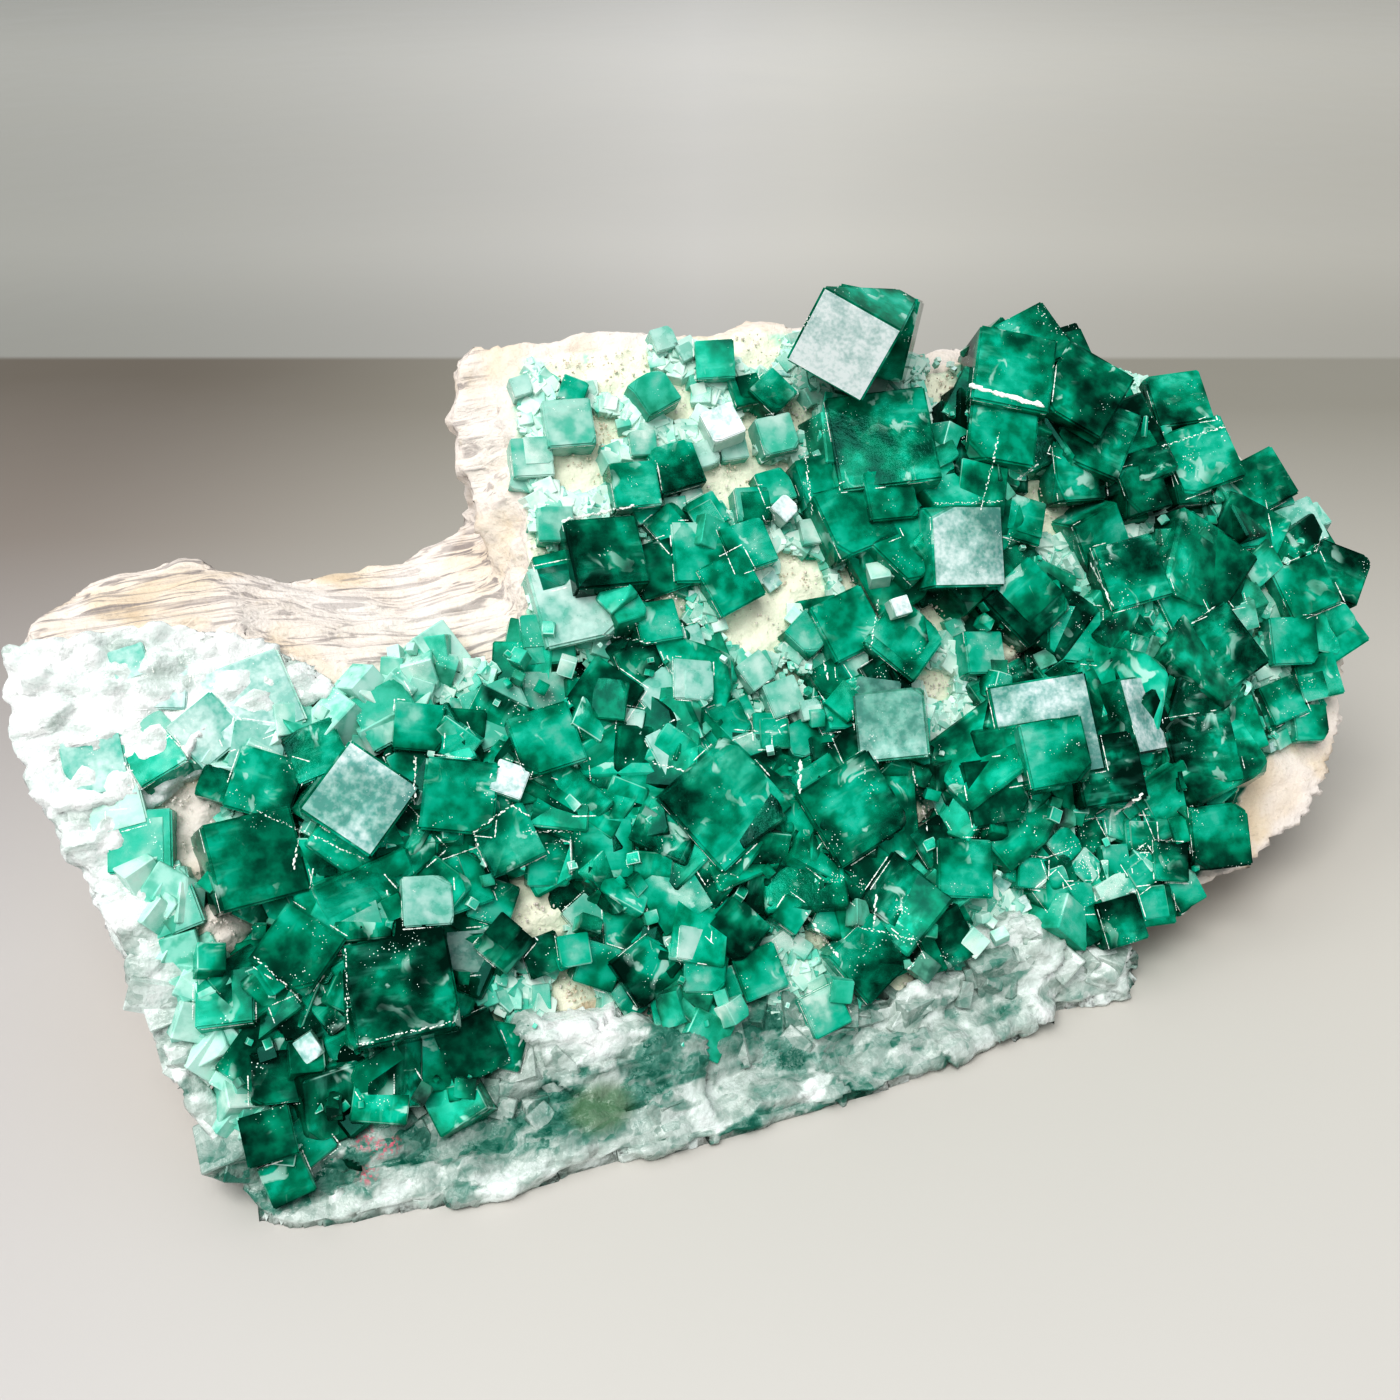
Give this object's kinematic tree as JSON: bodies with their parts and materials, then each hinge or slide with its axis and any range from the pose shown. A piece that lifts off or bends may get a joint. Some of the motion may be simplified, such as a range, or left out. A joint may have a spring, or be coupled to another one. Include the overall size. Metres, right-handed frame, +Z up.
{
  "type": "cubic fluorite cluster",
  "caption": "Mineral specimen: deep green intergrown fluorite cubes on a leaning slab of cream rock, edged with pale massive fluorite.",
  "frame": {"origin": "centre of the footprint's bounding box, on the surface that the specimen rests on", "axes": "+X along the front edge towards the overhanging right end, +Y from the crystal face to the broken back, +Z up"},
  "size_m": [0.3194, 0.152, 0.142],
  "materials": {
    "matrix": "broken cream rock, matt, with grey-brown striations and tan stains",
    "pale_fluorite": "white to pale mint massive fluorite, cloudy, broken and slightly glossy",
    "green_fluorite": "deep emerald green cubes, glossy, cloudy inside, some faces frosted"
  },
  "bodies": {
    "root": {"matrix_rock": "matrix", "massive_fluorite": "pale_fluorite", "crystal_druse": "green_fluorite", "lone_crystal_01": "green_fluorite", "lone_crystal_02": "green_fluorite", "lone_crystal_03": "green_fluorite", "lone_crystal_04": "green_fluorite", "lone_crystal_05": "green_fluorite", "lone_crystal_06": "green_fluorite", "lone_crystal_07": "green_fluorite", "lone_crystal_08": "green_fluorite", "lone_crystal_09": "green_fluorite", "lone_crystal_10": "green_fluorite", "lone_crystal_11": "green_fluorite", "lone_crystal_12": "green_fluorite", "lone_crystal_13": "green_fluorite"}
  },
  "joints": []
}
